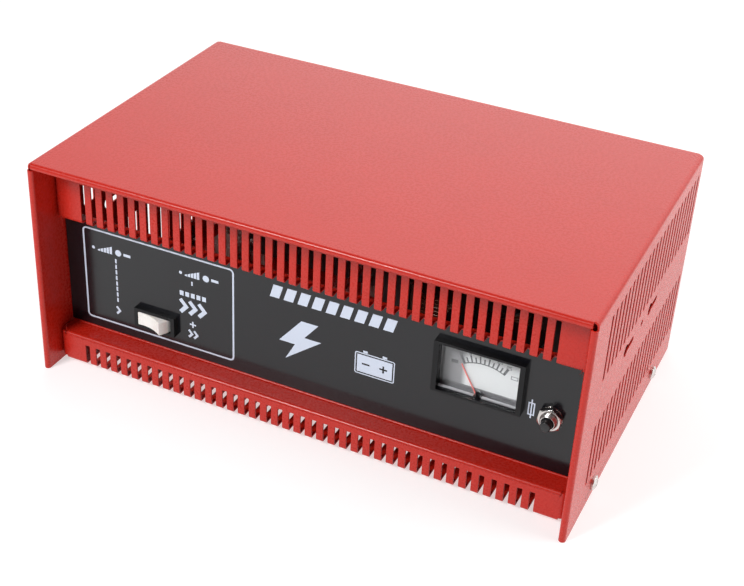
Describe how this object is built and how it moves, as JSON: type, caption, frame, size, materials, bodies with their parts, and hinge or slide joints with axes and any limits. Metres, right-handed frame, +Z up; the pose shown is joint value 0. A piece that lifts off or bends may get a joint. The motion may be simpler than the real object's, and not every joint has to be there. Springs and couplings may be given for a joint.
{
  "type": "car battery charger",
  "caption": "Steel-cased workshop car battery charger with a vented folded case, ammeter, rocker switch and push-to-reset breaker.",
  "frame": {"origin": "centre of the cover's footprint, on the surface it stands on", "axes": "+X to the right as seen from the front, +Y to the back, +Z up"},
  "size_m": [0.3714, 0.23, 0.152],
  "materials": {
    "red_paint": "red powder coat, semi-gloss, fine texture",
    "label_film": "smooth black film, semi-gloss, white print",
    "screw_steel": "bright zinc plate",
    "clip_steel": "dark phosphated spring steel",
    "black_plastic": "moulded, semi-gloss",
    "white_plastic": "moulded, warm white",
    "brass": "plain brass",
    "copper": "copper",
    "clear_plastic": "clear acrylic",
    "dial_white": "matt white enamel, printed scale",
    "needle_red": "matt red",
    "nickel": "nickel plate",
    "button_black": "moulded, dull",
    "core_steel": "varnished laminations",
    "bobbin_nylon": "natural nylon",
    "bracket_steel": "yellow zinc plate",
    "aluminium": "mill finish",
    "ceramic_white": "moulded, off-white",
    "rubber_black": "moulded rubber",
    "wire_red": "red insulation",
    "wound_copper": "enamelled copper wire"
  },
  "bodies": {
    "charger": {"cover": "red_paint", "chassis": "red_paint", "rear_panel": "red_paint", "front_label": "label_film", "cover_screws": "screw_steel", "cover_clip_nuts": "clip_steel", "rear_panel_screws": "screw_steel", "rear_panel_nuts": "screw_steel", "switch_body": "black_plastic", "switch_terminals": "brass", "meter_bezel": "black_plastic", "meter_window": "clear_plastic", "meter_case": "black_plastic", "meter_dial": "dial_white", "meter_movement": "wound_copper", "meter_studs": "brass", "meter_nuts": "brass", "breaker_body": "black_plastic", "breaker_bushing": "nickel", "breaker_washer": "nickel", "breaker_nut": "nickel", "breaker_terminals": "brass", "transformer_core": "core_steel", "transformer_bobbin": "bobbin_nylon", "primary_winding": "wound_copper", "secondary_winding": "wound_copper", "transformer_brackets": "bracket_steel", "core_bolts": "screw_steel", "core_nuts": "screw_steel", "bracket_screws": "screw_steel", "bracket_nuts": "screw_steel", "rectifier_plate": "aluminium", "rectifier_diodes": "nickel", "rectifier_feet": "ceramic_white", "rectifier_screws": "screw_steel", "terminal_block": "ceramic_white", "terminal_block_screws": "brass", "cable_gland": "black_plastic", "gland_nut": "black_plastic", "lead_grommets": "rubber_black", "earth_stud": "brass", "earth_nut": "brass", "internal_leads": "wire_red"},
    "rocker": {"switch_rocker": "white_plastic", "switch_plunger": "brass"},
    "tipping_contact": {"switch_contact": "copper"},
    "reset_button": {"reset_button": "button_black"},
    "needle": {"meter_needle": "needle_red"},
    "zero_screw": {"meter_zero_screw": "black_plastic"}
  },
  "joints": [
    {"name": "rocker_hinge", "type": "hinge", "parent": "charger", "child": "rocker", "pos_m": [-0.1102, -0.0845, 0.0447], "axis": [0, 0, 1], "range_deg": [0, 30]},
    {"name": "contact_hinge", "type": "hinge", "parent": "charger", "child": "tipping_contact", "pos_m": [-0.1102, -0.0722, 0.0447], "axis": [0, 0, 1], "range_deg": [-16, 0]},
    {"name": "reset_slide", "type": "slide", "parent": "charger", "child": "reset_button", "axis": [0, -1, 0], "range_m": [0, 0.004]},
    {"name": "needle_hinge", "type": "hinge", "parent": "charger", "child": "needle", "pos_m": [0.1122, -0.0829, 0.0556], "axis": [0, 1, 0], "range_deg": [0, 60], "stiffness_Nm_per_rad": 0.0003, "springref_deg": -11.46},
    {"name": "zero_screw_hinge", "type": "hinge", "parent": "charger", "child": "zero_screw", "pos_m": [0.1112, -0.0855, 0.0636], "axis": [0, 1, 0], "range_deg": [-40, 40]}
  ],
  "couplings": [
    {"joint": "contact_hinge", "follows": "rocker_hinge", "ratio": -0.53}
  ]
}
